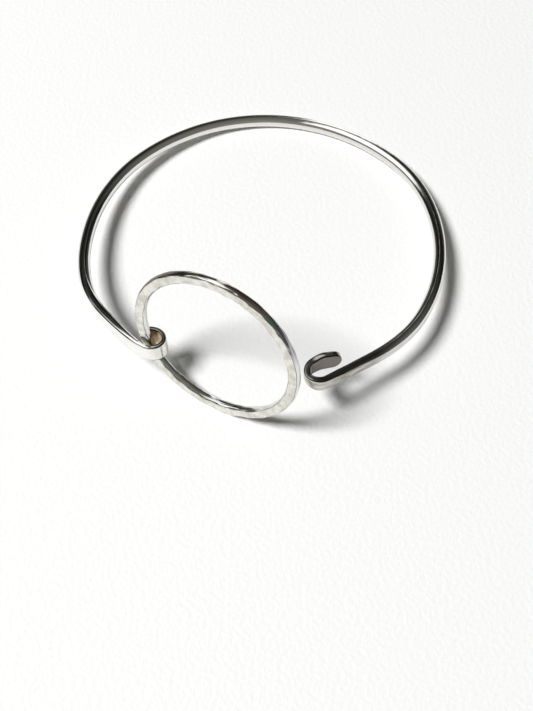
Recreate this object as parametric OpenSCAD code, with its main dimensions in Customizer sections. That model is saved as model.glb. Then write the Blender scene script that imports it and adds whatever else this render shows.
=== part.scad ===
// Open wire bangle. One wire is bent to a C, forged flat at both ends, curled to an eye at one end
// and bent to a hook at the other. A loose hammered ring hangs in the eye and closes the bangle over the hook.
// The bangle's own plane is X-Y round the middle of the C. It is then tipped to lie as it does on a table,
// on the back of the C and the edge of the ring.

/* [Wire] */
// Width of the wire
wire_d = 2.2; // [2:0.05:2.35]
// How square the wire's section is, from 0 for a circle to 1 for a forged strip
wire_flat = 0.1; // [0:0.05:0.3]
// Distance from the middle of the bangle to the middle of the wire
bangle_r = 31.4; // [30.4:0.1:32.4]
// Number of sides of the wire's section
wire_sides = 16; // [12:4:24]

/* [Eye] */
// Thickness of the flat strip that is curled to the eye
eye_strip_t = 0.75; // [0.55:0.05:0.8]
// Height of that strip
eye_strip_h = 2.75; // [2.45:0.1:2.95]
// Where the middle of the eye is, as an angle round the bangle
eye_angle = 231.4; // [230.4:0.2:232.4]
// How far the middle of the eye lies inside the wire's circle
eye_inset = 1.02; // [0.72:0.05:1.32]

/* [Hook] */
// Where the middle of the hook's bend is, as an angle round the bangle
hook_angle = -73.7; // [-75:0.1:-72]
// How far that middle lies inside the wire's circle
hook_inset = 1.08; // [0.78:0.1:1.38]
// Thickness of the strip at the hook's tip
paddle_t = 1.1; // [0.8:0.05:1.15]
// Height of the paddle at the hook's tip
paddle_h = 3.35; // [2.75:0.1:3.55]
// Length of the paddle's straight part
paddle_l = 1.5; // [0.8:0.1:1.8]
// Heading of the paddle in the bangle's plane
paddle_heading = 12; // [8:1:16]

/* [Ring] */
// Outer width of the hammered ring
ring_od = 29.95; // [29.15:0.1:30.45]
// Width of the ring's flat face
ring_w = 1.96; // [1.7:0.02:2.02]
// Thickness of the ring
ring_t = 1.55; // [1.25:0.05:1.6]
// Depth of the hammer marks
hammer_depth = 0.07; // [0:0.01:0.12]
// Where the eye holds the ring, as an angle round the ring from its lowest point
ring_held_at = 62.6; // [58:0.2:66]
// Heading of the ring's plane in the bangle's plane
ring_heading = -28.6; // [-32:0.2:-25]
// How far the ring leans back from upright in the bangle's plane
ring_lean = 3.6; // [2:0.1:6]

/* [Rest] */
// Direction in which the bangle slopes down to the table, as an angle round the bangle
downhill = 76.7; // [70:0.1:84]

/* [Hidden] */

ring_sides = 12;
ring_stations = 96;
strip_flat = 1.6;
ring_flat = 1.6;
ring_mid_r = (ring_od - ring_w) / 2;
hook_r = 2.35;
tip_r = 1.5;
// The eye's strip leans: how far it shifts in x and y for each millimetre down
eye_lean = [0.14, -0.2];
// Where the ring's wire crosses the bangle's plane, from the middle of the eye
ring_seat = [-0.5, 0.07];

// Columns of every table below: thick is the section's size in the bangle's plane, tall its height across that
// plane, flat is 0 for a round section and 1 or more for a forged strip
// The curl of the eye, from its end on the inside: angle round the eye, radius, thick, tall, flat
EYE = [
    [146, 2.60, 0.60, eye_strip_h - 0.3, strip_flat],
    [132, 2.50, eye_strip_t, eye_strip_h, strip_flat],
    [112, 2.22, eye_strip_t, eye_strip_h, strip_flat],
    [88, 2.03, eye_strip_t, eye_strip_h, strip_flat],
    [45, 2.02, eye_strip_t, eye_strip_h, strip_flat],
    [0, 2.04, eye_strip_t, eye_strip_h, strip_flat],
    [-45, 1.98, eye_strip_t, eye_strip_h, strip_flat],
    [-90, 1.95, eye_strip_t, eye_strip_h, strip_flat],
    [-122, 2.08, eye_strip_t, eye_strip_h, strip_flat]
];
// The C, from the eye round the back to the hook: angle round the bangle, distance outside the wire's circle,
// thick, tall, flat
BAND = [
    [228.6, 1.16, 1.05, 2.85, strip_flat],
    [222, 1.19, 1.32, 2.95, 1.3],
    [216, 1.32, 1.50, 2.80, 0.9],
    [210, 1.60, 1.65, 2.55, 0.6],
    [204, 1.68, 1.90, 2.30, 0.3],
    [198, 1.50, wire_d, wire_d, wire_flat],
    [190, 1.09, wire_d, wire_d, wire_flat],
    [180, 0.53, wire_d, wire_d, wire_flat],
    [170, 0.17, wire_d, wire_d, wire_flat],
    [158, -0.07, wire_d, wire_d, wire_flat],
    [146, -0.16, wire_d, wire_d, wire_flat],
    [135, -0.26, wire_d, wire_d, wire_flat],
    [123, -0.22, wire_d, wire_d, wire_flat],
    [112, -0.04, wire_d, wire_d, wire_flat],
    [98, 0.19, wire_d, wire_d, wire_flat],
    [84, 0.34, wire_d, wire_d, wire_flat],
    [70, 0.39, wire_d, wire_d, wire_flat],
    [52, 0.38, wire_d, wire_d, wire_flat],
    [34, 0.27, wire_d, wire_d, wire_flat],
    [22, -0.09, wire_d, wire_d, wire_flat],
    [10, -0.49, wire_d, wire_d, wire_flat],
    [-2, -0.68, wire_d, wire_d, wire_flat],
    [-14, -0.68, wire_d, wire_d, wire_flat],
    [-26, -0.46, 2.15, wire_d, wire_flat],
    [-38, -0.12, 2.05, wire_d, 0.2],
    [-48, -0.06, 1.90, 2.20, 0.35],
    [-56, -0.05, 1.72, 2.22, 0.6],
    [-62, 0.06, 1.55, 2.25, 0.9],
    [-68, 0.50, 1.40, 2.28, 1.2]
];
// The bend of the hook: angle round the bend, distance outside its radius, thick, tall, flat, and its lean in x
// and y for each millimetre down
HOOK = [
    [-64, -0.12, 1.25, 2.30, strip_flat, 0.00, 0.00],
    [-105, 0.00, 1.20, 2.65, strip_flat, 0.06, 0.05],
    [-155, -0.14, 1.15, 2.55, strip_flat, 0.08, 0.12],
    [-205, -0.48, 1.10, 2.70, strip_flat, 0.00, -0.12],
    [-232, -0.61, 1.15, 2.70, strip_flat, 0.00, -0.10],
    [-258, -0.47, 1.15, 2.95, strip_flat, 0.00, -0.08],
    [-287, 0.13, paddle_t, paddle_h, strip_flat, 0.00, -0.04]
];

function polar(angle, radius) = radius * [cos(angle), sin(angle)];

// A smooth run through the rows of a table, with n steps from each row to the next
function blend(a, b, c, d, t) =
    (2 * b + (c - a) * t + (2 * a - 5 * b + 4 * c - d) * t * t + (3 * b - a - 3 * c + d) * t * t * t) / 2;
function smooth(table, n) = let (last = len(table) - 1) [
    for (i = [0:last - 1], k = [0:n - 1])
        blend(table[max(i - 1, 0)], table[i], table[i + 1], table[min(i + 2, last)], k / n),
    table[last]
];

// A station of the wire: x, y, thick, tall, flat, and its shift in x and y for each millimetre down
function station(place, row, lean) = [place.x, place.y, row[2], row[3], row[4], lean.x, lean.y];

eye_mid = polar(eye_angle, bangle_r - eye_inset);
hook_mid = polar(hook_angle, bangle_r - hook_inset);
hook_end = HOOK[len(HOOK) - 1];
arm_end = hook_mid + polar(hook_end[0], hook_r + hook_end[1]);

// How much a part of the leg leans with the eye, from 1 at the eye to 0 a little way round the bangle
function leg_lean(angle) = max(0, 1 - (BAND[0][0] + 4 - angle) / 12);

wire_path = [
    for (row = smooth(EYE, 3)) station(eye_mid + polar(row[0], row[1]), row, eye_lean),
    for (row = smooth(BAND, 3))
        station(polar(row[0], bangle_r + row[1]), row, eye_lean * leg_lean(row[0])),
    for (row = smooth(HOOK, 3))
        station(hook_mid + polar(row[0], hook_r + row[1]), row, [row[5], row[6]]),
    station(arm_end + polar(paddle_heading, paddle_l), [0, 0, paddle_t, paddle_h, strip_flat], [0, 0]),
    for (turn = [30, 55, 72, 84])
        station(arm_end + polar(paddle_heading, paddle_l + tip_r * sin(turn)),
            [0, 0, paddle_t * (0.7 + 0.3 * cos(turn)), paddle_h * cos(turn), strip_flat], [0, 0])
];

// One point of a rounded section with half sizes 1: a circle at flat 0, a rounded strip at 1, squarer still at 2
function rounded(angle, flat) = let (power = 2 / (2 + 3 * flat))
    [sign(cos(angle)) * pow(abs(cos(angle)), power), sign(sin(angle)) * pow(abs(sin(angle)), power)];

function wire_section(i) =
    let (
        here = wire_path[i],
        before = wire_path[max(i - 1, 0)],
        after = wire_path[min(i + 1, len(wire_path) - 1)],
        run = [after.x - before.x, after.y - before.y],
        side = [-run.y, run.x] / norm(run)
    )
    [for (k = [0:wire_sides - 1]) let (
        unit = rounded(k * 360 / wire_sides, here[4]),
        out = unit.x * here[2] / 2,
        up = unit.y * here[3] / 2
    ) [here.x + side.x * out - up * here[5], here.y + side.y * out - up * here[6], up]];

band_points = [for (i = [0:len(wire_path) - 1]) each wire_section(i)];

// The ring's own directions: along its plane, and up its plane
ring_along = [cos(ring_heading), sin(ring_heading), 0];
ring_back = [-sin(ring_heading), cos(ring_heading), 0];
ring_up = ring_back * sin(ring_lean) + [0, 0, cos(ring_lean)];
ring_axis = cross(ring_along, ring_up);
ring_hold = [eye_mid.x + ring_seat.x, eye_mid.y + ring_seat.y, 0];
ring_mid = ring_hold + ring_mid_r * (ring_along * sin(ring_held_at) + ring_up * cos(ring_held_at));

// Shallow hammer marks, all the way round the ring and round its section
function hammered(turn, side) =
    hammer_depth * (cos(17 * turn + 2 * side) + cos(29 * turn - 3 * side + 80) - 1) / ring_w;
function ring_section(i) = let (turn = i * 360 / ring_stations)
    [for (k = [0:ring_sides - 1]) let (
        side = k * 360 / ring_sides,
        unit = rounded(side, ring_flat) * (1 + hammered(turn, side)),
        radius = ring_mid_r + unit.x * ring_w / 2
    ) ring_mid + radius * (ring_along * sin(turn) - ring_up * cos(turn)) + ring_axis * unit.y * ring_t / 2];

ring_points = [for (i = [0:ring_stations - 1]) each ring_section(i)];

// Tipping the bangle: a turn by tilt about the level line across the slope
slope = [cos(downhill), sin(downhill)];
function tipped(p, tilt) = let (reach = p.x * slope.x + p.y * slope.y, lowered = reach * cos(tilt) + p.z * sin(tilt))
    [p.x + (lowered - reach) * slope.x, p.y + (lowered - reach) * slope.y, p.z * cos(tilt) - reach * sin(tilt)];
function lowest(points, tilt) = min([for (p = points) tipped(p, tilt).z]);
// The tilt at which the band and the ring both touch the table, found by halving a range
function rest_tilt(low, high, steps) = let (middle = (low + high) / 2)
    steps == 0 ? middle
        : lowest(ring_points, middle) < lowest(band_points, middle) ? rest_tilt(middle, high, steps - 1)
        : rest_tilt(low, middle, steps - 1);
tilt = rest_tilt(2, 12, 14);

band_tipped = [for (p = band_points) tipped(p, tilt)];
ring_tipped = [for (p = ring_points) tipped(p, tilt)];
all_x = [for (p = concat(band_tipped, ring_tipped)) p.x];
all_y = [for (p = concat(band_tipped, ring_tipped)) p.y];
all_z = [for (p = concat(band_tipped, ring_tipped)) p.z];
// The origin is on the table, under the middle of the whole bangle
origin = [(min(all_x) + max(all_x)) / 2, (min(all_y) + max(all_y)) / 2, min(all_z)];

// Triangles of the skin between two sections of a sweep, each given by the number of its first point
function skin(first, second, sides) = [for (k = [0:sides - 1]) let (next = (k + 1) % sides)
    each [[first + k, first + next, second + next], [first + k, second + next, second + k]]];

module wire_band() {
    count = len(wire_path);
    walls = [for (i = [0:count - 2]) each skin((i + 1) * wire_sides, i * wire_sides, wire_sides)];
    caps = [
        [for (k = [0:wire_sides - 1]) k],
        [for (k = [wire_sides - 1:-1:0]) (count - 1) * wire_sides + k]
    ];
    color("silver")
        polyhedron([for (p = band_tipped) p - origin], concat(walls, caps));
}

module hammered_ring() {
    walls = [for (i = [0:ring_stations - 1])
        each skin(i * ring_sides, (i + 1) % ring_stations * ring_sides, ring_sides)];
    color("gainsboro")
        polyhedron([for (p = ring_tipped) p - origin], walls);
}

wire_band();
hammered_ring();
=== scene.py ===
"""Wire bangle: an open C of forged silver wire and the loose hammered ring that closes it."""

import math

import bpy
from mathutils import Matrix, Vector


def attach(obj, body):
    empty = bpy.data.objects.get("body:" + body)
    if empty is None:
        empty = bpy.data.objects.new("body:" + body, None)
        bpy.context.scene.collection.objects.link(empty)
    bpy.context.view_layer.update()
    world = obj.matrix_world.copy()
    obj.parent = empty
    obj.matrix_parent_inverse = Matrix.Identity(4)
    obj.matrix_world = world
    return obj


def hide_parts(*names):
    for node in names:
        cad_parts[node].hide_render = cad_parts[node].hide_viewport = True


bl_info = {
    "name": "Wire Bangle",
    "version": (1, 0, 0),
    "blender": (4, 5, 0),
    "location": "View3D > Sidebar > Bangle",
    "description": "Forged silver wire bangle with a hammered ring and a hook",
    "category": "Object",
}

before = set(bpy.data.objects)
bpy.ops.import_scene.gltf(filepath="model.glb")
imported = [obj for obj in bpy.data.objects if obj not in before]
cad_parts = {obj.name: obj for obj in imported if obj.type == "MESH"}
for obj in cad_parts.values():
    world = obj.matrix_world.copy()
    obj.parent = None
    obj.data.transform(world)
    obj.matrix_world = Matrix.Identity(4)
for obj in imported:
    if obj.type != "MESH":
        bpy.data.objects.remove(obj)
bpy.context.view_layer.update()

MM = 0.001
WIRE_NODE = "wire_band"
RING_NODE = "hammered_ring"

# How the bangle lies, as the part's source works it out: a turn by LYING_TILT about the level line across
# DOWNHILL, and then the shift that puts the table under the middle of the bangle
DOWNHILL = 76.7
LYING_TILT = 6.73419
LYING_SHIFT = Vector((0.665615, 1.92267, 4.8175))

# The sizes of the bangle in millimetres and degrees, in its own plane, with the names of the part's source
WIRE_WIDTH = 2.2
WIRE_FLAT = 0.1
BANGLE_RADIUS = 31.4
EYE_STRIP_THICK = 0.75
EYE_STRIP_TALL = 2.75
EYE_ANGLE = 231.4
EYE_INSET = 1.02
EYE_LEAN = Vector((0.14, -0.2))
# The angle round the bangle from which the eye's lean fades out, and over how many degrees
EYE_LEAN_FADES_FROM = 232.6
EYE_LEAN_FADES_OVER = 12.0
HOOK_ANGLE = -73.7
HOOK_INSET = 1.08
HOOK_RADIUS = 2.35
PADDLE_THICK = 1.1
PADDLE_TALL = 3.35
PADDLE_LENGTH = 1.5
PADDLE_HEADING = 12.0
PADDLE_TIP = 1.5
RING_ACROSS = 29.95
RING_FACE = 1.96
RING_THICK = 1.55
RING_RADIUS = (RING_ACROSS - RING_FACE) / 2
# The part's source has one flat, 1.6, for the whole ring: its faces and its filed edges are rounder here,
# as in the photo
RING_FACE_FLAT = 1.0
RING_EDGE_FLAT = 0.0
HAMMER_DEPTH = 0.07
STRIP_FLAT = 1.6
RING_HELD_AT = 62.6
RING_HEADING = -28.6
RING_LEAN = 3.6
RING_SEAT = Vector((-0.5, 0.07))

# Columns of the tables below: thick is the section's size in the bangle's plane and tall its height across
# that plane, flat is 0 for a round section and 1 or more for a forged strip, and tarnish is how brown the
# inner face is. Near the eye some flats differ from the part's source: the filed corners are rounder there,
# by a few hundredths of a millimetre
# The eye: angle round the eye, radius, thick, tall, flat, tarnish
EYE_TABLE = [
    [146, 2.60, 0.60, EYE_STRIP_TALL - 0.3, STRIP_FLAT, 1],
    [132, 2.50, EYE_STRIP_THICK, EYE_STRIP_TALL, STRIP_FLAT, 1],
    [112, 2.22, EYE_STRIP_THICK, EYE_STRIP_TALL, STRIP_FLAT, 1],
    [88, 2.03, EYE_STRIP_THICK, EYE_STRIP_TALL, STRIP_FLAT, 1],
    [45, 2.02, EYE_STRIP_THICK, EYE_STRIP_TALL, STRIP_FLAT, 1],
    [0, 2.04, EYE_STRIP_THICK, EYE_STRIP_TALL, STRIP_FLAT, 1],
    [-45, 1.98, EYE_STRIP_THICK, EYE_STRIP_TALL, 1.4, 0.9],
    [-90, 1.95, EYE_STRIP_THICK, EYE_STRIP_TALL, 0.9, 0.6],
    [-122, 2.08, EYE_STRIP_THICK, EYE_STRIP_TALL, 0.7, 0.3],
]
# The middle of the C, where the wire is round: angle round the bangle, distance outside the wire's circle
ROUND_PATH = [
    [198, 1.50],
    [190, 1.09],
    [180, 0.53],
    [170, 0.17],
    [158, -0.07],
    [146, -0.16],
    [135, -0.26],
    [123, -0.22],
    [112, -0.04],
    [98, 0.19],
    [84, 0.34],
    [70, 0.39],
    [52, 0.38],
    [34, 0.27],
    [22, -0.09],
    [10, -0.49],
    [-2, -0.68],
    [-14, -0.68],
]
# The whole C: the same two columns, thick, tall, flat, tarnish
BAND_TABLE = [
    [228.6, 1.16, 1.05, 2.85, 0.8, 0.2],
    [222, 1.19, 1.32, 2.95, STRIP_FLAT, 0.1],
    [216, 1.32, 1.50, 2.80, STRIP_FLAT, 0],
    [210, 1.60, 1.65, 2.55, 1.1, 0],
    [204, 1.68, 1.90, 2.30, 0.5, 0],
    *([angle, out, WIRE_WIDTH, WIRE_WIDTH, WIRE_FLAT, 0] for angle, out in ROUND_PATH),
    [-26, -0.46, 2.15, WIRE_WIDTH, WIRE_FLAT, 0],
    [-38, -0.12, 2.05, WIRE_WIDTH, 0.2, 0],
    [-48, -0.06, 1.90, 2.20, 0.35, 0],
    [-56, -0.05, 1.72, 2.22, 0.6, 0],
    [-62, 0.06, 1.55, 2.25, 0.9, 0],
    [-68, 0.50, 1.40, 2.28, 1.2, 0],
]
HOOK_TARNISH = 0.5
# The hook's bend: angle round the bend, distance outside its radius, thick, tall, flat, tarnish, and how
# far the section leans in x and in y
HOOK_TABLE = [
    [-64, -0.12, 1.25, 2.30, STRIP_FLAT, 0, 0.00, 0.00],
    [-105, 0.00, 1.20, 2.65, STRIP_FLAT, 0, 0.06, 0.05],
    [-155, -0.14, 1.15, 2.55, STRIP_FLAT, 0.2, 0.08, 0.12],
    [-205, -0.48, 1.10, 2.70, STRIP_FLAT, HOOK_TARNISH, 0.00, -0.12],
    [-232, -0.61, 1.15, 2.70, STRIP_FLAT, HOOK_TARNISH, 0.00, -0.10],
    [-258, -0.47, 1.15, 2.95, STRIP_FLAT, HOOK_TARNISH, 0.00, -0.08],
    [-287, 0.13, PADDLE_THICK, PADDLE_TALL, STRIP_FLAT, HOOK_TARNISH, 0.00, -0.04],
]
STATION_NAMES = ("x", "y", "thick", "tall", "flat", "tarnish", "lean_x", "lean_y")
# Smooth rows from each row of a table to the next, and the even spacing and the smoothing of the path
STEPS = 8
STATION_SPACING = 0.35
SMOOTHINGS = 2
# The turns of the paddle's round tip that have a station, and the share of its thickness left at the tip
TIP_TURNS = (18, 36, 52, 66, 77, 85)
TIP_THICK = 0.7
# How fine the meshes are: steps from one station of the wire to the next, stations of the ring, and sides
WIRE_STEPS = 2
RING_STATIONS = 720
SIDES = 48
# The power of a rounded section's outline: 2 for a circle, and this much more for each unit of flat
CIRCLE_POWER = 2
POWER_OF_FLAT = 3
# The hammering of the ring, as in the part's source. Columns: waves round the ring, waves round its
# section, start in degrees
RING_WAVES = [
    [17, 2, 0],
    [29, -3, 80],
]
# Where the hammering starts and is full, from 0 in the middle of an edge to 1 in the middle of a face
HAMMERED_FROM = 0.55
HAMMERED_FULL = 0.8
# A small dent is deepest up to the first of these distances from its middle and ends at the second, both
# as shares of the distance between dents
DENT_FLOOR = 0.1
DENT_RIM = 0.75
DENT_SOFTNESS = 0.6

# The room that the silver mirrors. Each window is the part of the sky between planes through the bangle.
# Columns: x, y and z of a plane's direction, towards the window, and how soft that edge is
LEFT_WINDOW = [
    [-0.975, 0.170, -0.140, 0.08],
    [-0.251, 0.895, 0.368, 0.30],
    [0.451, 0.240, 0.860, 0.25],
    [0.077, -0.765, 0.639, 0.18],
]
BACK_WINDOW = [
    [0.989, -0.130, 0.073, 0.05],
    [-0.868, 0.359, -0.342, 0.05],
    [0.000, 0.660, -0.750, 0.05],
]
# The wall's brightness from the front to the back of the room. Columns: how far back, colour
WALL = [
    [-1.0, "#909088"],
    [-0.7, "#85857E"],
    [-0.3, "#767670"],
    [0.1, "#71716B"],
    [0.3, "#6C6C66"],
    [0.5, "#5D5D58"],
    [0.62, "#52524D"],
    [0.7, "#40403C"],
    [0.78, "#181816"],
    [0.83, "#141413"],
    [0.9, "#454541"],
    [1.0, "#65655F"],
]
# How much further back the wall's greys are read at the sides of the room
WALL_CURVES_BACK = 0.47
# The shares of the windows' light and of the whole room's that reach the paper, which the lamp lights
WINDOWS_LIGHT_PAPER = 0.3
ROOM_LIGHTS_PAPER = 0.4

# How much slower the streaks of the file change along the metal than across it, how fine they are, and how
# fine the threads of the tarnish are
STREAK_STRETCH = 0.05
STREAK_SCALE = 3.0
THREAD_SCALE = 5.0
# The slow waves that hand polishing leaves, and the spots of the hammered faces, in metres
WAVE_LENGTH = 2.5 * MM
MOTTLE_SIZE = 1.4 * MM
# The levels of the noises between which a face goes from light to dark, and a streak from none to full
MOTTLE_LEVELS = (0.38, 0.62)
STREAK_LEVELS = (0.35, 0.75)
# How much of the metal's own mirror shows through the grey and brown tarnish film on the wire and through
# the grey painted shade on the hook's outer side
FILM_LEAVES_BARE = 0.55
# How much of the hammered faces' roughness is left on the arm that leads to the eye
ARM_LEFT_ROUGH = 0.2
# The masks of the wire. Columns: name, what it is read from, where it starts and where it is full, and its
# strength at these two places. x goes from -1 at the wire's inner side to 1 at its outer side, sideways is
# x without its sign, flat and tarnish are those of the tables above, length is in millimetres along the
# wire from its end in the eye, and threads is a noise
WIRE_MASKS = [
    ["side", "sideways", 0.7, 0.85, 0, 1],
    ["forged", "flat", 0.7, 1.3, 0, 1],
    ["inner", "x", -0.62, -0.8, 0, 1],
    ["dirty", "tarnish", 0.05, 0.5, 0, 1],
    ["brown", "tarnish", 0.5, 1.0, 0, 1],
    ["outer", "x", 0.62, 0.8, 0, 1],
    ["hook", "length", 160, 172, 0, 1],
    ["thread", "threads", 0.4, 0.6, 0.35, 0.9],
    # Painted reflection: line starts, line ends and strip place the black lines painted beside the strip's
    # corners
    ["line starts", "sideways", 0.24, 0.36, 0, 1],
    ["line ends", "sideways", 0.86, 0.76, 0, 1],
    ["strip", "flat", 0.5, 1.2, 0, 1],
    # Painted reflection: hook rim, past bend and eye rim place the black painted on these rims
    ["hook rim", "length", 160, 168, 0, 0.85],
    ["past bend", "length", 178, 181, 1, 0.72],
    ["eye rim", "length", 7.5, 6, 0, 0.8],
    ["bright arm", "length", 30, 24, 0, 1],
    ["outside eye", "length", 10, 12, 0, 1],
]
# The marks that two masks or marks make together. Columns: name, the one, the other, and how they join
WIRE_JOINS = [
    ["hammered", "side", "forged", "MULTIPLY"],
    ["browned", "inner", "dirty", "MULTIPLY"],
    # Painted shade: the outer side of the hook is painted greyer, in streaks along it, for the shade that
    # it mirrors
    ["outer hook", "outer", "hook", "MULTIPLY"],
    ["painted grey shade", "outer hook", "thread", "MULTIPLY"],
    ["film", "browned", "painted grey shade", "MAXIMUM"],
    # Painted reflection: a black line beside each corner of the forged strip stands in for the dark room
    # that these corners mirror
    ["line", "line starts", "line ends", "MULTIPLY"],
    ["corners", "line", "strip", "MULTIPLY"],
    # Painted reflection: the whole rim of the hook and of the eye's end is painted black, a dark reflection
    # in place of the window that it mirrors
    ["hook end", "hook rim", "past bend", "MULTIPLY"],
    ["ends", "hook end", "eye rim", "MAXIMUM"],
    ["rim", "line ends", "ends", "MULTIPLY"],
    ["black", "corners", "rim", "MAXIMUM"],
    # Real tarnish together with the painted dark reflections and painted shade
    ["tarnished", "film", "black", "MAXIMUM"],
    # The arm that leads to the eye is polished best
    ["smooth arm", "bright arm", "outside eye", "MULTIPLY"],
]
# The same for the ring. x goes from -1 at its inner edge to 1 at its outer one, sideways from 0 in the
# middle of an edge to 1 in the middle of a face, near is 1 on the stretch of the outer edge that is painted
# dark, stain is the strength of the colours below, threads is a noise, and share of black is the share of
# black given below for that painted dark edge
RING_MASKS = [
    ["face", "sideways", 0.8, 0.9, 0, 1],
    ["edge", "sideways", 0.84, 0.78, 0, 1],
    ["outside", "x", 0, 0.3, 0, 1],
    # Painted reflection: line starts and line ends place a thin black line painted beside each face
    ["line starts", "sideways", 0.76, 0.8, 0, 1],
    ["line ends", "sideways", 0.88, 0.84, 0, 0.9],
    ["thread", "threads", 0.44, 0.56, 0.4, 1],
]
RING_JOINS = [
    ["outer", "edge", "outside", "MULTIPLY"],
    # Painted reflection: dark paints the outer edge at the upper left, darkest adds the lines beside the
    # faces, and black makes part of both black
    ["dark", "outer", "near", "MULTIPLY"],
    ["line", "line starts", "line ends", "MULTIPLY"],
    ["darkest", "dark", "line", "MAXIMUM"],
    ["patch", "stain", "thread", "MULTIPLY"],
    ["stained", "edge", "patch", "MULTIPLY"],
    ["tarnished", "darkest", "stained", "MAXIMUM"],
    ["dark black", "dark", "share of black", "MULTIPLY"],
    ["black", "line", "dark black", "MAXIMUM"],
]
# Painted reflection: where the ring's outer edge is painted darkest, as a direction in the ring's own
# plane, the cosines of the angles from there at which that starts and is full, and how much of it is black
PAINTED_DARK_EDGE_AT = (-0.72, 0.69, 0.0)
PAINTED_DARK_EDGE_STARTS = 0.86
PAINTED_DARK_EDGE_FULL = 0.93
PAINTED_DARK_EDGE_BLACK = 0.5
# The colours that the ring's edges have tarnished to. Columns: angle round the ring, the colour's name in
# the finish, how strong
EDGE_STAINS = [
    [-156, "edge_teal", 0.0],
    [-150, "edge_teal", 0.6],
    [-140, "edge_teal", 0.6],
    [-134, "edge_teal", 0.0],
    [-100, "edge_teal", 0.0],
    [-92, "edge_teal", 0.15],
    [-80, "edge_teal", 0.15],
    [-72, "edge_teal", 0.0],
    [16, "edge_grey", 0.0],
    [28, "edge_grey", 0.8],
    [46, "edge_grey", 0.9],
    [48, "edge_teal", 0.9],
    [53, "edge_teal", 0.9],
    [56, "edge_brown", 0.9],
    [78, "edge_brown", 0.8],
    [90, "edge_brown", 0.1],
    # Past this row the grey is the base of the dark reflection painted on the outer edge at the upper left
    [102, "grey_tarnish_and_painted_shade", 0.0],
]

# The paper's grain, its relief and its roughness
PAPER_GRAIN = 0.8 * MM
PAPER_RELIEF = 0.1 * MM
PAPER_ROUGHNESS = 0.9
# Where the lamp stands, as a direction from the middle of the table
LAMP_DIRECTION = Vector((-0.60, -0.18, 1.0)).normalized()
# The camera: its place and its lens in millimetres, and the nearest and farthest that it sees in metres
CAMERA_PLACE = Vector((0.55, -125.61, 177.33))
CAMERA_LENS = 60.76
SENSOR_WIDTH = 36.0
NEAREST_SEEN = 0.01
FARTHEST_SEEN = 10.0


def plane_point(angle, radius):
    """A point in the bangle's plane, from an angle in degrees and a radius in millimetres."""
    turn = math.radians(angle)
    return Vector((math.cos(turn), math.sin(turn))) * radius


def blend(a, b, c, d, t):
    """One number on the smooth run from b to c, with a before them and d after them."""
    curve = 2 * a - 5 * b + 4 * c - d
    twist = 3 * b - a - 3 * c + d
    return (2 * b + (c - a) * t + curve * t * t + twist * t * t * t) / 2


def smooth_rows(table, steps):
    """The rows of a table, with steps smooth rows from each one to the next."""
    last = len(table) - 1
    rows = []
    for i in range(last):
        around = [table[max(i - 1, 0)], table[i], table[i + 1], table[min(i + 2, last)]]
        for k in range(steps):
            rows.append([blend(*column, k / steps) for column in zip(*around)])
    rows.append(list(table[last]))
    return rows


def wire_stations():
    """The stations of the whole wire, from the end inside the eye to the tip of the hook. Each one has a
    number for each of STATION_NAMES; lean_x and lean_y are how far the section leans for each millimetre
    down."""
    eye = plane_point(EYE_ANGLE, BANGLE_RADIUS - EYE_INSET)
    hook = plane_point(HOOK_ANGLE, BANGLE_RADIUS - HOOK_INSET)
    stations = []
    for angle, radius, *sizes in smooth_rows(EYE_TABLE, STEPS):
        stations.append([*(eye + plane_point(angle, radius)), *sizes, *EYE_LEAN])
    for angle, out, *sizes in smooth_rows(BAND_TABLE, STEPS):
        share = max(0, 1 - (EYE_LEAN_FADES_FROM - angle) / EYE_LEAN_FADES_OVER)
        stations.append([*plane_point(angle, BANGLE_RADIUS + out), *sizes, *(EYE_LEAN * share)])
    for angle, out, *sizes in smooth_rows(HOOK_TABLE, STEPS):
        stations.append([*(hook + plane_point(angle, HOOK_RADIUS + out)), *sizes])
    arm_end = hook + plane_point(HOOK_TABLE[-1][0], HOOK_RADIUS + HOOK_TABLE[-1][1])
    paddle = arm_end + plane_point(PADDLE_HEADING, PADDLE_LENGTH)
    stations.append([*paddle, PADDLE_THICK, PADDLE_TALL, STRIP_FLAT, HOOK_TARNISH, 0, 0])
    stations = evened(stations)
    for turn in TIP_TURNS:
        shrink = math.cos(math.radians(turn))
        place = paddle + plane_point(PADDLE_HEADING, PADDLE_TIP * math.sin(math.radians(turn)))
        thick = PADDLE_THICK * (TIP_THICK + (1 - TIP_THICK) * shrink)
        sizes = [thick, PADDLE_TALL * shrink, STRIP_FLAT, HOOK_TARNISH]
        stations.append([*place, *sizes, 0, 0])
    return stations


def evened(stations):
    """The stations again, evenly spaced along the path, with the kinks between the tables smoothed out."""
    reached = [0.0]
    for before, after in zip(stations, stations[1:]):
        reached.append(reached[-1] + math.dist(before[:2], after[:2]))
    count = round(reached[-1] / STATION_SPACING)
    rows = []
    i = 0
    for k in range(count + 1):
        along = reached[-1] * k / count
        while i < len(stations) - 2 and reached[i + 1] < along:
            i += 1
        share = (along - reached[i]) / (reached[i + 1] - reached[i])
        rows.append([a + (b - a) * share for a, b in zip(stations[i], stations[i + 1])])
    for _ in range(SMOOTHINGS):
        inner = [[(a + 2 * b + c) / 4 for a, b, c in zip(*rows[k - 1 : k + 2])] for k in range(1, count)]
        rows = [rows[0], *inner, rows[-1]]
    return rows


def lying_matrix():
    """The matrix that takes millimetres in the bangle's own plane to metres where it lies on the table."""
    downhill = math.radians(DOWNHILL)
    across = Vector((-math.sin(downhill), math.cos(downhill), 0))
    tilt = Matrix.Rotation(math.radians(LYING_TILT), 4, across)
    return Matrix.Scale(MM, 4) @ Matrix.Translation(LYING_SHIFT) @ tilt


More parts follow.
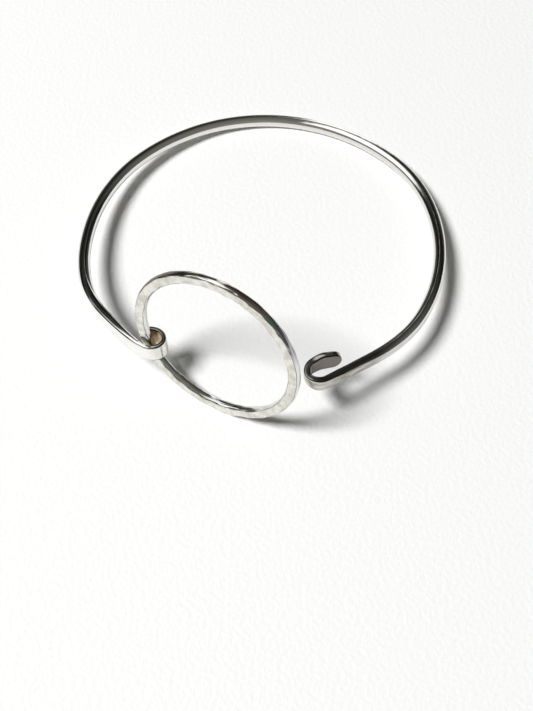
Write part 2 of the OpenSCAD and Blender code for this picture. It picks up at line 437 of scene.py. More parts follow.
def ring_matrix():
    """The matrix that takes a ring in its own plane, round its own middle, to its place in the eye."""
    heading = math.radians(RING_HEADING)
    lean = math.radians(RING_LEAN)
    held_at = math.radians(RING_HELD_AT)
    along = Vector((math.cos(heading), math.sin(heading), 0))
    back = Vector((-math.sin(heading), math.cos(heading), 0))
    up = back * math.sin(lean) + Vector((0, 0, math.cos(lean)))
    axis = along.cross(up)
    held = plane_point(EYE_ANGLE, BANGLE_RADIUS - EYE_INSET) + RING_SEAT
    middle = held.to_3d() + RING_RADIUS * (along * math.sin(held_at) + up * math.cos(held_at))
    turned = Matrix((along, up, axis)).transposed().to_4x4()
    return Matrix.Translation(middle) @ turned


def colour(code):
    """A linear colour from the hex code of an sRGB one."""
    parts = [int(code[i : i + 2], 16) / 255 for i in (1, 3, 5)]
    linear = [part / 12.92 if part <= 0.04045 else ((part + 0.055) / 1.055) ** 2.4 for part in parts]
    return (*linear, 1.0)


def add_node(tree, kind, inputs=None, stops=(), **settings):
    """Adds a node, sets its settings, and links or sets each input, which is given by name or by number. A
    node given as an input's value stands for the first of its outputs in use. stops gives the places and
    the colours of a colour ramp."""
    made = tree.nodes.new(kind)
    for name, value in settings.items():
        setattr(made, name, value)
    for number, (place, shade) in enumerate(stops):
        ramp = made.color_ramp.elements
        if number == len(ramp):
            ramp.new(1.0)
        ramp[number].position = place
        ramp[number].color = shade
    for key, value in (inputs or {}).items():
        if isinstance(value, bpy.types.Node):
            value = next(socket for socket in value.outputs if socket.enabled)
        if isinstance(value, bpy.types.NodeSocket):
            tree.links.new(value, made.inputs[key])
        else:
            made.inputs[key].default_value = value
    return made


def emptied_tree(owner):
    """The node tree of a material or a world, with no nodes in it."""
    owner.use_nodes = True
    owner.node_tree.nodes.clear()
    return owner.node_tree


def new_tree(name, sockets):
    """A geometry tree with named inputs; sockets maps each one's name to its kind and its default."""
    tree = bpy.data.node_groups.new(name, "GeometryNodeTree")
    for label, (kind, default) in sockets.items():
        made = tree.interface.new_socket(label, in_out="INPUT", socket_type=kind)
        if default is not None:
            made.default_value = default
    tree.interface.new_socket("Geometry", in_out="OUTPUT", socket_type="NodeSocketGeometry")
    return tree


def squared_section(tree, unit, top_flat, side_flat):
    """Nodes that turn a point of a unit circle to one of a rounded section: the top and the bottom are
    flatter as top_flat goes to 1 and above, and the two sides as side_flat does."""
    round_power = (CIRCLE_POWER,) * 3
    more = (POWER_OF_FLAT,) * 3
    flats = add_node(tree, "ShaderNodeCombineXYZ", {0: top_flat, 1: side_flat})
    outline = add_node(
        tree, "ShaderNodeVectorMath", {0: flats, 1: more, 2: round_power}, operation="MULTIPLY_ADD"
    )
    powers = add_node(tree, "ShaderNodeVectorMath", {0: round_power, 1: outline}, operation="DIVIDE")
    size = add_node(tree, "ShaderNodeVectorMath", {0: unit}, operation="ABSOLUTE")
    grown = add_node(tree, "ShaderNodeVectorMath", {0: size, 1: powers}, operation="POWER")
    sign = add_node(tree, "ShaderNodeVectorMath", {0: unit}, operation="SIGN")
    return add_node(tree, "ShaderNodeVectorMath", {0: grown, 1: sign}, operation="MULTIPLY")


def half_sized(tree, section, width, height):
    """The two coordinates of a point of a section, once the section has this width and height."""
    size = add_node(tree, "ShaderNodeCombineXYZ", {0: width, 1: height})
    whole = add_node(tree, "ShaderNodeVectorMath", {0: section, 1: size}, operation="MULTIPLY")
    half = add_node(tree, "ShaderNodeVectorMath", {0: whole, "Scale": 0.5}, operation="SCALE")
    return add_node(tree, "ShaderNodeSeparateXYZ", {0: half}).outputs[:2]


def sweep(tree, path, sides, caps):
    """Nodes that sweep a circle along a path. Its points know their places on the circle as unit."""
    circle = add_node(tree, "GeometryNodeCurvePrimitiveCircle", {"Resolution": sides, "Radius": 1.0})
    outline = add_node(
        tree,
        "GeometryNodeStoreNamedAttribute",
        {"Geometry": circle, "Name": "unit", "Value": add_node(tree, "GeometryNodeInputPosition")},
        data_type="FLOAT_VECTOR",
    )
    return add_node(
        tree, "GeometryNodeCurveToMesh", {"Curve": path, "Profile Curve": outline, "Fill Caps": caps}
    )


def finish_tree(tree, mesh, material):
    """Ends a tree: smooth faces, real instances, the material and the output."""
    smooth = add_node(tree, "GeometryNodeSetShadeSmooth", {"Geometry": mesh})
    real = add_node(tree, "GeometryNodeRealizeInstances", {"Geometry": smooth})
    dressed = add_node(tree, "GeometryNodeSetMaterial", {"Geometry": real, "Material": material})
    add_node(tree, "NodeGroupOutput", {0: dressed})


def forged_wire_tree():
    """Sweeps a forged section along a path whose points say how thick, tall, flat and leaning it is."""
    tree = new_tree(
        "Forged wire",
        {
            "Path": ("NodeSocketGeometry", None),
            "Steps": ("NodeSocketInt", WIRE_STEPS),
            "Sides": ("NodeSocketInt", SIDES),
            "Silver": ("NodeSocketMaterial", None),
        },
    )
    given = add_node(tree, "NodeGroupInput").outputs
    run = add_node(tree, "GeometryNodeMeshToCurve", {"Mesh": given["Path"]})
    typed = add_node(tree, "GeometryNodeCurveSplineType", {"Curve": run}, spline_type="CATMULL_ROM")
    finer = add_node(
        tree, "GeometryNodeSetSplineResolution", {"Geometry": typed, "Resolution": given["Steps"]}
    )
    path = add_node(tree, "GeometryNodeResampleCurve", {"Curve": finer}, mode="EVALUATED")
    place = add_node(tree, "GeometryNodeInputPosition")
    heading = add_node(tree, "GeometryNodeInputTangent")
    length = add_node(tree, "GeometryNodeSplineParameter").outputs["Length"]
    stored = {
        "middle": (place, "FLOAT_VECTOR"),
        "heading": (heading, "FLOAT_VECTOR"),
        "length": (length, "FLOAT"),
    }
    for name, (value, kind) in stored.items():
        path = add_node(
            tree,
            "GeometryNodeStoreNamedAttribute",
            {"Geometry": path, "Name": name, "Value": value},
            data_type=kind,
        )
    swept = sweep(tree, path, given["Sides"], True)
    thick, tall, flat, lean_x, lean_y = [
        add_node(tree, "GeometryNodeInputNamedAttribute", {"Name": name}, data_type="FLOAT")
        for name in ("thick", "tall", "flat", "lean_x", "lean_y")
    ]
    lean = add_node(tree, "ShaderNodeCombineXYZ", {0: lean_x, 1: lean_y, 2: -1.0})
    unit, middle, along = [
        add_node(tree, "GeometryNodeInputNamedAttribute", {"Name": name}, data_type="FLOAT_VECTOR")
        for name in ("unit", "middle", "heading")
    ]
    half_out, half_up = half_sized(tree, squared_section(tree, unit, flat, flat), thick, tall)
    side = add_node(tree, "ShaderNodeVectorMath", {0: (0, 0, 1), 1: along}, operation="CROSS_PRODUCT")
    side_unit = add_node(tree, "ShaderNodeVectorMath", {0: side}, operation="NORMALIZE")
    sideways = add_node(tree, "ShaderNodeVectorMath", {0: side_unit, "Scale": half_out}, operation="SCALE")
    downwards = add_node(tree, "ShaderNodeVectorMath", {0: lean, "Scale": half_up}, operation="SCALE")
    shift = add_node(tree, "ShaderNodeVectorMath", {0: sideways, 1: downwards}, operation="SUBTRACT")
    final = add_node(tree, "ShaderNodeVectorMath", {0: middle, 1: shift}, operation="ADD")
    formed = add_node(tree, "GeometryNodeSetPosition", {"Geometry": swept, "Position": final})
    finish_tree(tree, formed, given["Silver"])
    return tree


def swelling(tree, middle, unit, depth, width):
    """Nodes that give how much the hammering swells the ring's section at a point, by the two waves of the
    part's source, which run round the ring and round its section at once."""
    here = add_node(tree, "ShaderNodeSeparateXYZ", {0: middle})
    down = add_node(tree, "ShaderNodeMath", {0: here.outputs["Y"], 1: -1.0}, operation="MULTIPLY")
    turn = add_node(tree, "ShaderNodeMath", {0: here.outputs["X"], 1: down}, operation="ARCTAN2")
    round_it = add_node(tree, "ShaderNodeSeparateXYZ", {0: unit})
    side = add_node(
        tree, "ShaderNodeMath", {0: round_it.outputs["Y"], 1: round_it.outputs["X"]}, operation="ARCTAN2"
    )
    # The waves start from -1, so that no place swells by more than the depth
    total = -1.0
    for turns, sides, start in RING_WAVES:
        across = add_node(
            tree, "ShaderNodeMath", {0: side, 1: sides, 2: math.radians(start)}, operation="MULTIPLY_ADD"
        )
        angle = add_node(tree, "ShaderNodeMath", {0: turn, 1: turns, 2: across}, operation="MULTIPLY_ADD")
        wave = add_node(tree, "ShaderNodeMath", {0: angle}, operation="COSINE")
        total = add_node(tree, "ShaderNodeMath", {0: wave, 1: total}, operation="ADD")
    depths = add_node(tree, "ShaderNodeMath", {0: total, 1: depth}, operation="MULTIPLY")
    share = add_node(tree, "ShaderNodeMath", {0: depths, 1: width}, operation="DIVIDE")
    return add_node(tree, "ShaderNodeMath", {0: share, 1: 1.0}, operation="ADD")


def hammered_ring_tree():
    """Sweeps a squarish section round a circle, swells it as the hammering does and presses small dents
    in."""
    tree = new_tree(
        "Hammered ring",
        {
            "Geometry": ("NodeSocketGeometry", None),
            "Middle radius": ("NodeSocketFloat", RING_RADIUS),
            "Face": ("NodeSocketFloat", RING_FACE),
            "Thick": ("NodeSocketFloat", RING_THICK),
            "Face flat": ("NodeSocketFloat", RING_FACE_FLAT),
            "Edge flat": ("NodeSocketFloat", RING_EDGE_FLAT),
            "Swell": ("NodeSocketFloat", HAMMER_DEPTH),
            "Edge share": ("NodeSocketFloat", 0.15),
            "Stations": ("NodeSocketInt", RING_STATIONS),
            "Sides": ("NodeSocketInt", SIDES),
            "Dent width": ("NodeSocketFloat", 1.6),
            "Dent depth": ("NodeSocketFloat", 0.04),
            "Silver": ("NodeSocketMaterial", None),
        },
    )
    given = add_node(tree, "NodeGroupInput").outputs
    place = add_node(tree, "GeometryNodeInputPosition")
    circle = add_node(
        tree,
        "GeometryNodeCurvePrimitiveCircle",
        {"Resolution": given["Stations"], "Radius": given["Middle radius"]},
    )
    path = add_node(
        tree,
        "GeometryNodeStoreNamedAttribute",
        {"Geometry": circle, "Name": "middle", "Value": place},
        data_type="FLOAT_VECTOR",
    )
    inside_out = sweep(tree, path, given["Sides"], False)
    swept = add_node(tree, "GeometryNodeFlipFaces", {"Mesh": inside_out})
    middle, unit = [
        add_node(tree, "GeometryNodeInputNamedAttribute", {"Name": name}, data_type="FLOAT_VECTOR")
        for name in ("middle", "unit")
    ]
    across = add_node(tree, "ShaderNodeSeparateXYZ", {0: unit}).outputs["Y"]
    sideways = add_node(tree, "ShaderNodeMath", {0: across}, operation="ABSOLUTE")
    # The faces are hammered, and the edges between them are filed nearly smooth again
    hammered = add_node(
        tree,
        "ShaderNodeMapRange",
        {
            "Value": sideways,
            "From Min": HAMMERED_FROM,
            "From Max": HAMMERED_FULL,
            "To Min": given["Edge share"],
            "To Max": 1.0,
        },
        interpolation_type="SMOOTHSTEP",
    )
    swell_depth = add_node(tree, "ShaderNodeMath", {0: hammered, 1: given["Swell"]}, operation="MULTIPLY")
    swell = swelling(tree, middle, unit, swell_depth, given["Face"])
    squared = squared_section(tree, unit, given["Face flat"], given["Edge flat"])
    swollen = add_node(tree, "ShaderNodeVectorMath", {0: squared, "Scale": swell}, operation="SCALE")
    half_out, half_up = half_sized(tree, swollen, given["Face"], given["Thick"])
    radial = add_node(tree, "ShaderNodeVectorMath", {0: middle}, operation="NORMALIZE")
    outwards = add_node(tree, "ShaderNodeVectorMath", {0: radial, "Scale": half_out}, operation="SCALE")
    upwards = add_node(tree, "ShaderNodeCombineXYZ", {2: half_up})
    shift = add_node(tree, "ShaderNodeVectorMath", {0: outwards, 1: upwards}, operation="ADD")
    plain = add_node(tree, "ShaderNodeVectorMath", {0: middle, 1: shift}, operation="ADD")
    formed = add_node(tree, "GeometryNodeSetPosition", {"Geometry": swept, "Position": plain})
    dents_apart = add_node(tree, "ShaderNodeMath", {0: 1.0, 1: given["Dent width"]}, operation="DIVIDE")
    dents = add_node(
        tree,
        "ShaderNodeTexVoronoi",
        {"Vector": place, "Scale": dents_apart, "Smoothness": DENT_SOFTNESS, "Randomness": 1.0},
        feature="SMOOTH_F1",
    )
    bowl = add_node(
        tree,
        "ShaderNodeMapRange",
        {
            "Value": dents.outputs["Distance"],
            "From Min": DENT_FLOOR,
            "From Max": DENT_RIM,
            "To Min": -1.0,
            "To Max": 0.0,
        },
        interpolation_type="SMOOTHSTEP",
    )
    deep = add_node(tree, "ShaderNodeMath", {0: bowl, 1: given["Dent depth"]}, operation="MULTIPLY")
    pressed = add_node(tree, "ShaderNodeMath", {0: deep, 1: hammered}, operation="MULTIPLY")
    normal = add_node(tree, "GeometryNodeInputNormal")
    dent = add_node(tree, "ShaderNodeVectorMath", {0: normal, "Scale": pressed}, operation="SCALE")
    dented = add_node(tree, "GeometryNodeSetPosition", {"Geometry": formed, "Offset": dent})
    finish_tree(tree, dented, given["Silver"])
    return tree


def grow(name, tree, mesh, values, place):
    """Runs a tree on a mesh with these input values and returns its result as a plain piece at place."""
    maker = bpy.data.objects.new(name + "_maker", mesh)
    bpy.context.scene.collection.objects.link(maker)
    modifier = maker.modifiers.new(tree.name, "NODES")
    modifier.node_group = tree
    for item in tree.interface.items_tree:
        if item.in_out == "INPUT" and item.name in values:
            modifier[item.identifier] = values[item.name]
    evaluated = maker.evaluated_get(bpy.context.evaluated_depsgraph_get())
    grown = bpy.data.meshes.new_from_object(evaluated)
    maker.modifiers.clear()
    bpy.data.objects.remove(maker)
    if not grown.polygons:
        raise RuntimeError(f"{name} has no faces")
    grown.name = name
    grown.transform(place)
    piece = bpy.data.objects.new(name, grown)
    bpy.context.scene.collection.objects.link(piece)
    return piece


def polished_silver(name, finish, streak_depth, marks):
    """Sterling silver, drawn or forged and then polished: a clear white mirror, softened by fine scratches,
    by the streaks of the file along it and by a slow waviness from the hand work. Its hammered faces are
    duller and mottled, and what no polishing cloth reaches carries tarnish. Dark reflections and shade are
    painted into the same layer as the tarnish. marks gives where, the colour of the tarnish and of the
    painted dark, and how metallic it looks."""
    made = bpy.data.materials.new(name)
    tree = emptied_tree(made)
    # tarnish and stain carry both the real tarnish and the dark reflections and shade painted with it
    along, silver, hammered, tarnish, stain, metal = marks(tree, finish)
    place = add_node(tree, "ShaderNodeTexCoord").outputs["Object"]
    noises = (
        (along, STREAK_SCALE, 2.0),
        (place, 1 / WAVE_LENGTH, 1.0),
        (place, 1 / MOTTLE_SIZE, 4.0),
    )
    streaks, wave, mottle = [
        add_node(tree, "ShaderNodeTexNoise", {"Vector": where, "Scale": scale, "Detail": detail})
        for where, scale, detail in noises
    ]
    darker = add_node(
        tree,
        "ShaderNodeMapRange",
        {"Value": mottle, "From Min": MOTTLE_LEVELS[0], "From Max": MOTTLE_LEVELS[1]},
    )
    face = add_node(
        tree,
        "ShaderNodeMix",
        {0: darker, 6: colour(finish.face_light), 7: colour(finish.face_dark)},
        data_type="RGBA",
    )
    clean = add_node(tree, "ShaderNodeMix", {0: hammered, 6: silver, 7: face}, data_type="RGBA")
    tone = add_node(tree, "ShaderNodeMix", {0: tarnish, 6: clean, 7: stain}, data_type="RGBA")
    scratched = finish.roughness + finish.wear
    worn = add_node(
        tree,
        "ShaderNodeMapRange",
        {
            "Value": streaks,
            "From Min": STREAK_LEVELS[0],
            "From Max": STREAK_LEVELS[1],
            "To Min": finish.roughness,
            "To Max": scratched,
        },
    )
    duller = add_node(tree, "ShaderNodeMath", {0: hammered, 1: tarnish}, operation="MAXIMUM")
    dull = add_node(
        tree, "ShaderNodeMath", {0: duller, 1: finish.dullness, 2: worn}, operation="MULTIPLY_ADD"
    )
    waves = add_node(tree, "ShaderNodeBump", {"Height": wave, "Strength": 1.0, "Distance": finish.waviness})
    lines = add_node(
        tree,
        "ShaderNodeBump",
        {"Height": streaks, "Strength": 1.0, "Distance": streak_depth, "Normal": waves},
    )
    shader = add_node(
        tree,
        "ShaderNodeBsdfPrincipled",
        {"Base Color": tone, "Metallic": metal, "Roughness": dull, "Normal": lines},
    )
    add_node(tree, "ShaderNodeOutputMaterial", {"Surface": shader})
    return made


def marks_of(tree, along, measures, masks, joins):
    """Nodes for a table of masks and then for one of joins, by name. measures maps the name of each measure
    to what gives it, apart from threads, a noise that is stretched along the metal."""
    threads = add_node(tree, "ShaderNodeTexNoise", {"Vector": along, "Scale": THREAD_SCALE, "Detail": 2.0})
    made = {"threads": threads, **measures}
    for name, measure, start, full, weakest, strongest in masks:
        limits = {"From Min": start, "From Max": full, "To Min": weakest, "To Max": strongest}
        made[name] = add_node(tree, "ShaderNodeMapRange", {"Value": made[measure], **limits})
    for name, one, other, operation in joins:
        made[name] = add_node(tree, "ShaderNodeMath", {0: made[one], 1: made[other]}, operation=operation)
    return made


def wire_marks(tree, finish):
    """For the wire: coordinates that run along it, its clean colour, how hammered it is (the two sides of
    the forged strip), how much tarnish and painted dark it carries (the tarnish of its inner faces, painted
    shade on the hook's outer side and black painted reflections at the strip's corners and rims), their
    colour and how metallic it looks."""
    length, flat, tarnish = [
        add_node(tree, "ShaderNodeAttribute", attribute_name=name).outputs["Fac"]
        for name in ("length", "flat", "tarnish")
    ]
    unit = add_node(tree, "ShaderNodeAttribute", attribute_name="unit").outputs["Vector"]
    x, y, _ = add_node(tree, "ShaderNodeSeparateXYZ", {0: unit}).outputs
    slow = add_node(tree, "ShaderNodeMath", {0: length, 1: STREAK_STRETCH}, operation="MULTIPLY")
    along = add_node(tree, "ShaderNodeCombineXYZ", {0: slow, 1: x, 2: y})
    sideways = add_node(tree, "ShaderNodeMath", {0: x}, operation="ABSOLUTE")
    measures = {"x": x, "sideways": sideways, "flat": flat, "tarnish": tarnish, "length": length}
    mark = marks_of(tree, along, measures, WIRE_MASKS, WIRE_JOINS)
    mixes = (
        ("brown", finish.grey_tarnish_and_painted_shade, finish.brown_tarnish),
        ("bright arm", finish.silver, finish.bright_silver),
    )
    film, silver = [
        add_node(
            tree, "ShaderNodeMix", {0: mark[name], 6: colour(most), 7: colour(there)}, data_type="RGBA"
        )
        for name, most, there in mixes
    ]
    # Painted reflection: this black paints the dark reflections in the strip's corners and rims
    black = colour(finish.painted_dark_reflection)
    stain = add_node(tree, "ShaderNodeMix", {0: mark["black"], 6: film, 7: black}, data_type="RGBA")
    left, metal = [
        add_node(tree, "ShaderNodeMapRange", {"Value": mark[name], "To Min": 1.0, "To Max": share})
        for name, share in (("smooth arm", ARM_LEFT_ROUGH), ("film", FILM_LEAVES_BARE))
    ]
    hammered = add_node(tree, "ShaderNodeMath", {0: mark["hammered"], 1: left}, operation="MULTIPLY")
    return along, silver, hammered, mark["tarnished"], stain, metal


def ring_marks(tree, finish):
    """For the ring: coordinates that run along it, its clean colour, how hammered it is (its two flat
    faces), how much tarnish and painted dark it carries (the tarnish colours of its edges, a dark
    reflection painted on the outer edge at the upper left and a thin black line of painted reflection
    beside each face), their colour and how metallic it looks."""
    middle, unit = [
        add_node(tree, "ShaderNodeAttribute", attribute_name=name).outputs["Vector"]
        for name in ("middle", "unit")
    ]
    x, y, _ = add_node(tree, "ShaderNodeSeparateXYZ", {0: unit}).outputs
    slow = add_node(tree, "ShaderNodeVectorMath", {0: middle, "Scale": STREAK_STRETCH}, operation="SCALE")
    along = add_node(tree, "ShaderNodeVectorMath", {0: slow, 1: unit}, operation="ADD")
    sideways = add_node(tree, "ShaderNodeMath", {0: y}, operation="ABSOLUTE")
    heading = add_node(tree, "ShaderNodeVectorMath", {0: middle}, operation="NORMALIZE")
    # Painted reflection: near marks the stretch of the outer edge, at the upper left, that is painted dark
    toward = add_node(tree, "ShaderNodeVectorMath", {0: heading, 1: PAINTED_DARK_EDGE_AT}, operation="DOT_PRODUCT")
    near = add_node(
        tree,
        "ShaderNodeMapRange",
        {"Value": toward, "From Min": PAINTED_DARK_EDGE_STARTS, "From Max": PAINTED_DARK_EDGE_FULL},
        interpolation_type="SMOOTHSTEP",
    )
    # The edges have tarnished to different colours round the ring, in fine threads
    ring_x, ring_y, _ = add_node(tree, "ShaderNodeSeparateXYZ", {0: middle}).outputs
    turn = add_node(tree, "ShaderNodeMath", {0: ring_y, 1: ring_x}, operation="ARCTAN2")
    share = add_node(tree, "ShaderNodeMapRange", {"Value": turn, "From Min": -math.pi, "From Max": math.pi})
    stops = [
        (angle / 360 + 0.5, (*colour(getattr(finish, name))[:3], strength))
        for angle, name, strength in EDGE_STAINS
    ]
    colours = add_node(tree, "ShaderNodeValToRGB", {0: share}, stops)
    measures = {
        "x": x,
        "sideways": sideways,
        "near": near,
        "stain": colours.outputs["Alpha"],
        "share of black": PAINTED_DARK_EDGE_BLACK,
    }
    mark = marks_of(tree, along, measures, RING_MASKS, RING_JOINS)
    # Painted reflection: this black paints the lines beside the faces and part of the dark upper left edge
    black = colour(finish.painted_dark_reflection)
    stain = add_node(tree, "ShaderNodeMix", {0: mark["black"], 6: colours, 7: black}, data_type="RGBA")
    return along, colour(finish.silver), mark["face"], mark["tarnished"], stain, 1.0


class BangleFinish(bpy.types.PropertyGroup):
    """The finish of the silver."""

    silver: bpy.props.StringProperty(
        name="Silver", description="Colour of the clean silver as an sRGB hex code", default="#E4E3E0"
    )
    bright_silver: bpy.props.StringProperty(
        name="Bright silver", description="Colour of the silver beside the eye", default="#FAFAF8"
    )
    face_light: bpy.props.StringProperty(
        name="Face, light", description="Lighter colour of the hammered faces", default="#EBEAE3"
    )
    face_dark: bpy.props.StringProperty(
        name="Face, dark", description="Darker colour of the hammered faces", default="#CFCCC3"
    )
    # Real tarnish on the wire's inner faces; also the painted shade on the hook's outer side and, half
    # mixed with black, the dark reflection painted on the ring's upper left edge
    grey_tarnish_and_painted_shade: bpy.props.StringProperty(
        name="Grey tarnish", description="Colour of the light tarnish", default="#8E8880"
    )
    brown_tarnish: bpy.props.StringProperty(
        name="Brown tarnish", description="Colour of the deep tarnish", default="#CDB492"
    )
    # Painted reflection: the black painted where the wire's corners and rims and the ring's edges mirror a
    # dark room
    painted_dark_reflection: bpy.props.StringProperty(
        name="Painted dark reflection", description="Colour of the dark reflection painted in corners and on rims and edges", default="#1C1A16"
    )
    edge_grey: bpy.props.StringProperty(
        name="Edge, grey", description="Grey tarnish of the ring's edge", default="#5A5478"
    )
    edge_brown: bpy.props.StringProperty(
        name="Edge, brown", description="Brown tarnish of the ring's edge", default="#8A5C56"
    )
    edge_teal: bpy.props.StringProperty(
        name="Edge, teal", description="Green-blue tarnish of the ring's edge", default="#3C9C86"
    )
    roughness: bpy.props.FloatProperty(
        name="Polish", description="Roughness of the cleanest silver", default=0.05, min=0.0, max=1.0
    )
    dullness: bpy.props.FloatProperty(
        name="Dullness",
        description="How much rougher the hammered faces are",
        default=0.14,
        min=0.0,
        max=1.0,
    )
    wear: bpy.props.FloatProperty(
        name="Wear", description="How much rougher the scratched silver is", default=0.05, min=0.0, max=1.0
    )
    waviness: bpy.props.FloatProperty(
        name="Waviness", description="Height of the slow waves", default=0.00002, unit="LENGTH"
    )
    wire_streaks: bpy.props.FloatProperty(
        name="Wire streaks",
        description="Depth of the file's streaks on the wire",
        default=0.000006,
        unit="LENGTH",
    )
    ring_streaks: bpy.props.FloatProperty(
        name="Ring streaks",
        description="Depth of the file's streaks on the ring",
        default=0.00006,
        unit="LENGTH",
    )
    edge_share: bpy.props.FloatProperty(
        name="Edge marks",
        description="Share of the hammering left on the ring's edges",
        default=0.15,
        min=0.0,
        max=1.0,
    )
    dent_width: bpy.props.FloatProperty(
        name="Dents", description="Distance between the ring's small dents", default=0.0016, unit="LENGTH"
    )
    dent_depth: bpy.props.FloatProperty(
        name="Dent depth", description="Depth of the ring's small dents", default=0.00004, unit="LENGTH"
    )


class BangleStage(bpy.types.PropertyGroup):
    """The table, the light and the camera."""

    paper_colour: bpy.props.StringProperty(
        name="Paper", description="Colour of the paper as an sRGB hex code", default="#FBFBFA"
    )
    paper_across: bpy.props.FloatProperty(
        name="Paper size", description="Width of the paper", default=3.0, unit="LENGTH"
    )
    light_power: bpy.props.FloatProperty(
        name="Lamp", description="Power of the soft lamp in watts", default=44.0
    )
    light_across: bpy.props.FloatProperty(
        name="Lamp size", description="Width of the soft lamp", default=0.66, unit="LENGTH"
    )
    light_away: bpy.props.FloatProperty(
        name="Lamp distance", description="Distance of the soft lamp", default=2.0, unit="LENGTH"
    )
    window_power: bpy.props.FloatProperty(
        name="Windows", description="Brightness of the windows that the silver mirrors", default=1.4
    )
    camera_elevation: bpy.props.FloatProperty(
        name="Camera height",
        description="Angle of the view below the horizon",
        default=math.radians(59),
        unit="ROTATION",
    )


class BANGLE_OT_wire_band(bpy.types.Operator):
    """Makes the C of round wire with its forged eye and hook"""

    bl_idname = "bangle.wire_band"
    bl_label = "Wire band"

    def execute(self, context):
        finish = context.scene.bangle_finish
        columns = dict(zip(STATION_NAMES, zip(*wire_stations())))
        mesh = bpy.data.meshes.new("wire_path")
        points = [(x, y, 0) for x, y in zip(columns["x"], columns["y"])]
        mesh.from_pydata(points, [(i, i + 1) for i in range(len(points) - 1)], [])
        for name in STATION_NAMES[2:]:
            values = mesh.attributes.new(name, "FLOAT", "POINT")
            values.data.foreach_set("value", columns[name])
        silver = polished_silver("drawn_and_polished_silver", finish, finish.wire_streaks, wire_marks)
        values = {"Steps": WIRE_STEPS, "Sides": SIDES, "Silver": silver}
        piece = grow("wire_band_silver", forged_wire_tree(), mesh, values, lying_matrix())
        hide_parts(WIRE_NODE)
        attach(piece, "band")
        return {"FINISHED"}


class BANGLE_OT_hammered_ring(bpy.types.Operator):
    """Makes the loose hammered ring that hangs in the eye"""

    bl_idname = "bangle.hammered_ring"
    bl_label = "Hammered ring"

    def execute(self, context):
        finish = context.scene.bangle_finish
        silver = polished_silver("hammered_and_polished_silver", finish, finish.ring_streaks, ring_marks)
        values = {
            "Middle radius": RING_RADIUS,
            "Face": RING_FACE,
            "Thick": RING_THICK,
            "Face flat": RING_FACE_FLAT,
            "Edge flat": RING_EDGE_FLAT,
            "Swell": HAMMER_DEPTH,
            "Edge share": finish.edge_share,
            "Stations": RING_STATIONS,
            "Sides": SIDES,
            "Dent width": finish.dent_width / MM,
            "Dent depth": finish.dent_depth / MM,
            "Silver": silver,
        }
        place = lying_matrix() @ ring_matrix()
        empty = bpy.data.meshes.new("ring_seed")
        piece = grow("hammered_ring_silver", hammered_ring_tree(), empty, values, place)
        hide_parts(RING_NODE)
        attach(piece, "ring")
        return {"FINISHED"}


class BANGLE_OT_stage(bpy.types.Operator):
    """Makes the paper that the bangle lies on, the soft light and the camera"""

    bl_idname = "bangle.stage"
    bl_label = "Stage"

    def execute(self, context):
        stage = context.scene.bangle_stage
        half = stage.paper_across / 2
        mesh = bpy.data.meshes.new("paper")
        corners = [(-half, -half, 0), (half, -half, 0), (half, half, 0), (-half, half, 0)]
        mesh.from_pydata(corners, [], [(0, 1, 2, 3)])
        paper = bpy.data.objects.new("paper", mesh)
        context.scene.collection.objects.link(paper)
        mesh.materials.append(soft_paper(stage))

        light = bpy.data.lights.new("lamp", "AREA")
        light.shape = "DISK"
        light.size = stage.light_across
        light.energy = stage.light_power
        lamp = bpy.data.objects.new("lamp", light)
        lamp.location = LAMP_DIRECTION * stage.light_away
        lamp.rotation_mode = "QUATERNION"
        lamp.rotation_quaternion = LAMP_DIRECTION.to_track_quat("Z", "Y")
        # In the lamp's direction the silver mirrors the left window, which is no brighter than white paper
        lamp.visible_glossy = False
        context.scene.collection.objects.link(lamp)
        context.scene.world = dim_room(stage)
        context.scene.view_settings.view_transform = "Standard"

        camera = bpy.data.cameras.new("camera")
        camera.sensor_width = SENSOR_WIDTH
        camera.lens = CAMERA_LENS
        camera.clip_start = NEAREST_SEEN
        camera.clip_end = FARTHEST_SEEN
        viewer = bpy.data.objects.new("camera", camera)
        viewer.location = CAMERA_PLACE * MM
        viewer.rotation_euler = (math.pi / 2 - stage.camera_elevation, 0, 0)
        context.scene.collection.objects.link(viewer)
        context.scene.camera = viewer
        return {"FINISHED"}


def window_mask(tree, direction, edges):
    """Nodes that are 1 in the directions inside every one of the edges and 0 outside."""
    inside = 1.0
    for *towards, softness in edges:
        depth = add_node(tree, "ShaderNodeVectorMath", {0: direction, 1: towards}, operation="DOT_PRODUCT")
        edge = add_node(
            tree,
            "ShaderNodeMapRange",
            {"Value": depth, "From Min": -softness / 2, "From Max": softness / 2},
            interpolation_type="SMOOTHSTEP",
        )
        inside = add_node(tree, "ShaderNodeMath", {0: inside, 1: edge}, operation="MULTIPLY")
    return inside


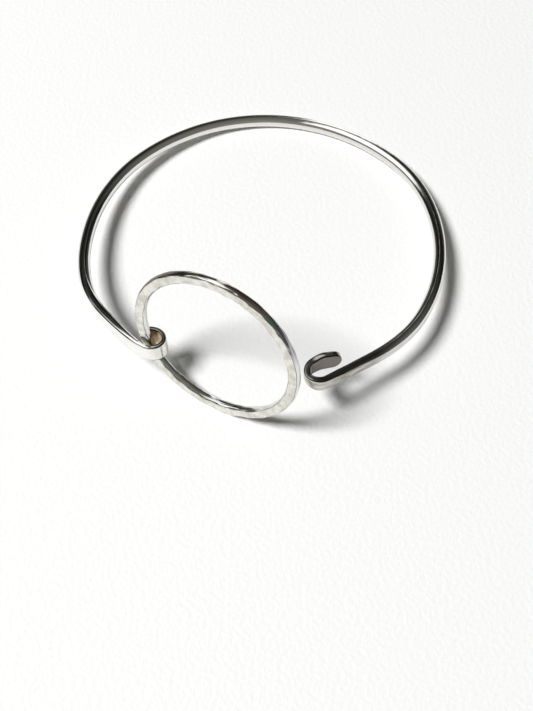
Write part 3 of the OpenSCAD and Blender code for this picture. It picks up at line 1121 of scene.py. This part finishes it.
def dim_room(stage):
    """The dim room with two plain windows that the polished silver mirrors."""
    world = bpy.data.worlds.new("dim_room")
    tree = emptied_tree(world)
    direction = add_node(tree, "ShaderNodeTexCoord").outputs["Generated"]
    parts = add_node(tree, "ShaderNodeSeparateXYZ", {0: direction})
    across = add_node(tree, "ShaderNodeMath", {0: parts.outputs["X"], 1: 2.0}, operation="POWER")
    back = add_node(
        tree,
        "ShaderNodeMath",
        {0: across, 1: WALL_CURVES_BACK, 2: parts.outputs["Y"]},
        operation="MULTIPLY_ADD",
    )
    start, end = WALL[0][0], WALL[-1][0]
    share = add_node(tree, "ShaderNodeMapRange", {"Value": back, "From Min": start, "From Max": end})
    stops = [((place - start) / (end - start), colour(code)) for place, code in WALL]
    wall = add_node(tree, "ShaderNodeValToRGB", {0: share}, stops)
    left = window_mask(tree, direction, LEFT_WINDOW)
    behind = window_mask(tree, direction, BACK_WINDOW)
    either = add_node(tree, "ShaderNodeMath", {0: left, 1: behind}, operation="MAXIMUM")
    # The windows are mostly a reflection: they light the paper much less than the lamp does
    lights_paper = add_node(tree, "ShaderNodeLightPath").outputs["Is Diffuse Ray"]
    given, strength = [
        add_node(tree, "ShaderNodeMapRange", {"Value": lights_paper, "To Min": 1.0, "To Max": share})
        for share in (WINDOWS_LIGHT_PAPER, ROOM_LIGHTS_PAPER)
    ]
    lit = add_node(tree, "ShaderNodeMath", {0: either, 1: given}, operation="MULTIPLY")
    bright = (stage.window_power,) * 3 + (1.0,)
    seen = add_node(tree, "ShaderNodeMix", {0: lit, 6: wall, 7: bright}, data_type="RGBA")
    background = add_node(tree, "ShaderNodeBackground", {"Color": seen, "Strength": strength})
    add_node(tree, "ShaderNodeOutputWorld", {"Surface": background})
    return world


def soft_paper(stage):
    """Uncoated art paper, near white: rough, with a faint felt grain under a millimetre across."""
    made = bpy.data.materials.new("uncoated_paper")
    tree = emptied_tree(made)
    place = add_node(tree, "ShaderNodeTexCoord").outputs["Object"]
    grain = add_node(tree, "ShaderNodeTexNoise", {"Vector": place, "Scale": 1 / PAPER_GRAIN, "Detail": 4.0})
    bump = add_node(tree, "ShaderNodeBump", {"Height": grain, "Distance": PAPER_RELIEF})
    shader = add_node(
        tree,
        "ShaderNodeBsdfPrincipled",
        {"Base Color": colour(stage.paper_colour), "Roughness": PAPER_ROUGHNESS, "Normal": bump},
    )
    add_node(tree, "ShaderNodeOutputMaterial", {"Surface": shader})
    return made


class BANGLE_PT_panel(bpy.types.Panel):
    """Lists the pieces of the bangle and their settings"""

    bl_idname = "BANGLE_PT_panel"
    bl_label = "Wire Bangle"
    bl_space_type = "VIEW_3D"
    bl_region_type = "UI"
    bl_category = "Bangle"

    def draw(self, context):
        for settings in (context.scene.bangle_finish, context.scene.bangle_stage):
            for name in settings.__annotations__:
                self.layout.prop(settings, name)
        for step in OPERATORS:
            self.layout.operator(step.bl_idname)


OPERATORS = (BANGLE_OT_wire_band, BANGLE_OT_hammered_ring, BANGLE_OT_stage)
CLASSES = (BangleFinish, BangleStage, *OPERATORS, BANGLE_PT_panel)


def register():
    for made in CLASSES:
        bpy.utils.register_class(made)
    bpy.types.Scene.bangle_finish = bpy.props.PointerProperty(type=BangleFinish)
    bpy.types.Scene.bangle_stage = bpy.props.PointerProperty(type=BangleStage)


def unregister():
    del bpy.types.Scene.bangle_stage
    del bpy.types.Scene.bangle_finish
    for made in reversed(CLASSES):
        bpy.utils.unregister_class(made)


def main():
    register()
    bpy.ops.bangle.wire_band()
    bpy.ops.bangle.hammered_ring()
    bpy.ops.bangle.stage()


if __name__ == "__main__":
    main()
